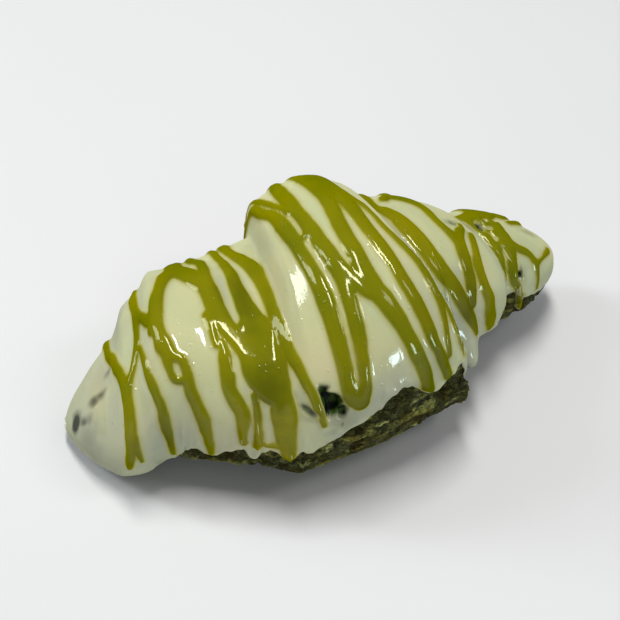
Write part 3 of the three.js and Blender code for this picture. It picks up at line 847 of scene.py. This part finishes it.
def mix_colour(tree, share, first, second, blend="MIX"):
    """Second over first by a share, or multiplied: each is a constant or a node's output."""
    made = add_node(tree, "Mix", data_type="RGBA", blend_type=blend)
    for k, value in ((0, share), (6, first), (7, second)):
        feed(tree, made.inputs[k], value)
    return made.outputs[2]


def attribute(tree, name):
    """A value that the mesh has at each of its points."""
    return add_node(tree, "Attribute", attribute_name=name).outputs["Fac"]


def add_bumps(tree, shader, layers):
    """Bump from (height source, height in metres) layers, one on top of another."""
    target = shader.inputs["Normal"]
    for source, distance in layers:
        bump = add_node(tree, "Bump", Height=source, Distance=distance)
        feed(tree, target, bump.outputs["Normal"])
        target = bump.inputs["Normal"]


def edge_level(tree, start, end):
    """Specular level that falls off where the surface turns away, from start to end: wet icing
    mirrors the bright table less than clean glass would."""
    turned = add_node(tree, "LayerWeight", Blend=0.5).outputs["Facing"]
    return ramp(tree, turned, [(start, grey(0.5)), (end, grey(0))])


def bubbles(tree, scale, rarity):
    """Sparse small domes, as heights from 0 to 1: the higher rarity is, the fewer there are."""
    cells = add_node(tree, "TexVoronoi", Vector=place_node(tree), Scale=scale)
    dome = ramp(tree, cells.outputs["Distance"], [
        (0.0, grey(1)), (0.12, grey(0.75)), (0.24, grey(0))])
    chosen = ramp(tree, cells.outputs["Color"], [(rarity, grey(0)), (rarity + 0.02, grey(1))])
    return mix_colour(tree, 1.0, dome, chosen, "MULTIPLY")


def glaze_tone(tree):
    """Cream green with warmer and greener patches, greyer in painted shade where low says so."""
    patches = ramp(tree, noise_node(tree, 38, 1.5), [
        (0.3, (0.455, 0.485, 0.27)), (0.55, (0.515, 0.515, 0.28)), (0.75, (0.575, 0.52, 0.30))])
    return mix_colour(tree, attribute(tree, "low"), patches, (0.33, 0.345, 0.255))


def glaze_material():
    """Glossy, slightly translucent cream green, with dark spots and dark green gaps in painted
    shade.
    """
    made, tree, shader = new_material("glaze_cream_green")
    pit = attribute(tree, "pit")
    tone = mix_colour(tree, attribute(tree, "thin"), glaze_tone(tree), (0.16, 0.17, 0.09))
    stain = ramp(tree, attribute(tree, "stain"), [(0.0, grey(0)), (1.0, grey(0.6))])
    tone = mix_colour(tree, stain, tone, (0.44, 0.41, 0.12))
    tone = mix_colour(tree, attribute(tree, "smudge"), tone, (0.02, 0.024, 0.009))
    # painted shade: the dough inside a gap is nearly black, dark green in places
    inside = ramp(tree, noise_node(tree, 480, 3), [
        (0.44, (0.001, 0.004, 0.0005)), (0.6, (0.03, 0.065, 0.003))])
    dull = ramp(tree, noise_node(tree, 60), [(0.3, grey(0.04)), (0.7, grey(0.10))])
    level = edge_level(tree, 0.32, 0.64)
    set_inputs(tree, shader, Base_Color=mix_colour(tree, pit, tone, inside),
               Roughness=mix_colour(tree, pit, dull, grey(0.5)),
               Specular_IOR_Level=mix_colour(tree, pit, level, grey(0.12)), IOR=1.5,
               Subsurface_Weight=0.35, Subsurface_Scale=0.003, Subsurface_Radius=(1, 0.9, 0.5))
    add_bumps(tree, shader, [(noise_node(tree, 300, 2, (1, 0.22, 0.22)), 0.00016),
                             (noise_node(tree, 560), 0.00006),
                             (bubbles(tree, 400, 0.62), 0.00012)])
    return made


def drizzle_material():
    """Olive green, turning yellower and then to the glaze's own tone at its thin edge."""
    made, tree, shader = new_material("drizzle_olive_green")
    full = ramp(tree, noise_node(tree, 42), [
        (0.3, (0.134, 0.146, 0.0002)), (0.7, (0.22, 0.2, 0.0002))])
    # painted shade: a darker olive in the spots of SHADES
    full = mix_colour(tree, attribute(tree, "deep"), full, (0.09, 0.093, 0.0002))
    depth = attribute(tree, "depth")
    thin = ramp(tree, depth, [(0.0, grey(0.6)), (0.45, grey(1))])
    thick = ramp(tree, depth, [(0.3, grey(0)), (1.0, grey(1))])
    tone = mix_colour(tree, thin, glaze_tone(tree), (0.37, 0.345, 0.08))
    dull = ramp(tree, noise_node(tree, 90), [(0.3, grey(0.05)), (0.7, grey(0.12))])
    set_inputs(tree, shader, Base_Color=mix_colour(tree, thick, tone, full), Roughness=dull,
               Specular_IOR_Level=edge_level(tree, 0.18, 0.46), Specular_Tint=(1, 1, 0.7),
               IOR=1.4, Subsurface_Weight=0.15, Subsurface_Scale=0.001,
               Subsurface_Radius=(1, 0.9, 0.1))
    add_bumps(tree, shader, [(noise_node(tree, 320), 0.00006),
                             (bubbles(tree, 450, 0.6), 0.00012)])
    return made


def dough_material():
    """Olive brown in patches, with painted shade in its hollows, fine crumbs and cracked flakes.
    """
    made, tree, shader = new_material("dough_olive_brown")
    patches = ramp(tree, noise_node(tree, 120, 3), [
        (0.36, (0.18, 0.14, 0.020)), (0.5, (0.27, 0.265, 0.055)), (0.64, (0.37, 0.38, 0.13))])
    crumbs = ramp(tree, noise_node(tree, 700, 4), [(0.38, grey(0.35)), (0.6, grey(1.0))])
    flakes = flake_edges(tree, 330)
    # painted shade: darker where the dough's relief is low, in its hollows
    shade = ramp(tree, attribute(tree, "relief"), [(0.0, grey(0.15)), (0.45, grey(1.0))])
    tone = mix_colour(tree, 0.9, patches, shade, "MULTIPLY")
    tone = mix_colour(tree, 0.8, tone, crumbs, "MULTIPLY")
    tone = mix_colour(tree, 0.85, tone, flakes, "MULTIPLY")
    dull = ramp(tree, noise_node(tree, 500), [(0.3, grey(0.55)), (0.7, grey(0.9))])
    set_inputs(tree, shader, Base_Color=tone, Roughness=dull, IOR=1.4, Specular_IOR_Level=0.1)
    add_bumps(tree, shader, [(noise_node(tree, 1100, 4), 0.0003), (flakes, 0.0003)])
    return made


def flake_edges(tree, scale):
    """0.08 in the cracks between small flakes of dough, which lie flat, and 1 on the flakes."""
    bend = 0.006                    # metres that noise bends the cracks by, at most
    place = place_node(tree, (1, 1, 1.8))
    shift = add_node(tree, "TexNoise", Vector=place, Scale=300, Detail=2).outputs["Color"]
    bent = add_node(tree, "VectorMath", operation="MULTIPLY_ADD")
    for k, value in enumerate((shift, (bend, bend, bend), place)):
        feed(tree, bent.inputs[k], value)
    cells = add_node(tree, "TexVoronoi", feature="DISTANCE_TO_EDGE", Scale=scale,
                     Vector=bent.outputs["Vector"])
    return ramp(tree, cells.outputs["Distance"], [
        (0.0, grey(0.08)), (0.05, grey(0.7)), (0.16, grey(1))])


# ---- stage, light and camera ----
def stage():
    """A pale floor just below the croissant."""
    side, drop = 3.0, 0.0002
    mesh = bpy.data.meshes.new("floor")
    mesh.from_pydata([(-side, -side, 0), (side, -side, 0), (side, side, 0), (-side, side, 0)],
                     [], [(0, 1, 2, 3)])
    floor = add_object("floor", mesh)
    floor.location.z = -drop
    made, tree, shader = new_material("floor_white")
    tone = ramp(tree, noise_node(tree, 3), [(0.3, grey(0.69)), (0.7, grey(0.71))])
    set_inputs(tree, shader, Base_Color=tone, Roughness=0.9)
    mesh.materials.append(made)


def direction(azimuth, elevation):
    """Unit vector toward a place in the sky: azimuth 0 is the front, 90 the right."""
    a, e = math.radians(azimuth), math.radians(elevation)
    return Vector((math.sin(a) * math.cos(e), -math.cos(a) * math.cos(e), math.sin(e)))


def softbox(name, azimuth, elevation, width, height, radiance, colour=(1, 1, 1)):
    """A rectangular lamp that looks width by height degrees large from the croissant."""
    distance, aim = 0.9, Vector((0, 0, 0.04))
    size = [2 * distance * math.tan(math.radians(angle) / 2) for angle in (width, height)]
    data = bpy.data.lights.new(name, "AREA")
    data.shape, data.size, data.size_y = "RECTANGLE", *size
    data.energy, data.color = math.pi * size[0] * size[1] * radiance, colour
    toward = direction(azimuth, elevation)
    lamp = add_object(name, data)
    lamp.location = aim + toward * distance
    lamp.rotation_euler = toward.to_track_quat("Z", "Y").to_euler()


def light():
    """Lamps that the photograph's highlights mirror, and a dim white sky."""
    softbox("key", 172, 84, 9, 28, 31, (1.0, 0.995, 0.98))
    softbox("right", 60, 52, 14, 16, 6)
    softbox("front_left", -50, 12, 50, 30, 0.6)
    softbox("back_left", -124, 34, 11, 34, 11, (0.9, 0.96, 1.0))
    softbox("window", 30, 4, 9, 12, 18, (0.68, 0.89, 1.0))
    world = bpy.data.worlds.new("world")
    world.use_nodes = True
    set_inputs(world.node_tree, world.node_tree.nodes["Background"], Color=grey(1), Strength=0.2)
    bpy.context.scene.world = world
    bpy.context.scene.view_settings.view_transform = "Standard"


def camera():
    """The photograph's view of the croissant, with its middle a little off centre, in mm."""
    distance, middle, off_right, off_up = 423, (0.0, 10.0, 25.0), 1.64, 2.24
    data = bpy.data.cameras.new("camera")
    data.lens, data.sensor_width = 77.9, 36.0
    view = direction(-19.7, 50)
    right = Vector((0, 0, 1)).cross(view).normalized()
    up = view.cross(right)
    aim = Vector(middle) + Vector(PLACE) + right * off_right + up * off_up
    made = add_object("camera", data)
    made.location = (aim + view * distance) * MM
    made.rotation_euler = view.to_track_quat("Z", "Y").to_euler()
    bpy.context.scene.camera = made


dough()
glaze()
drizzle()
stage()
light()
camera()
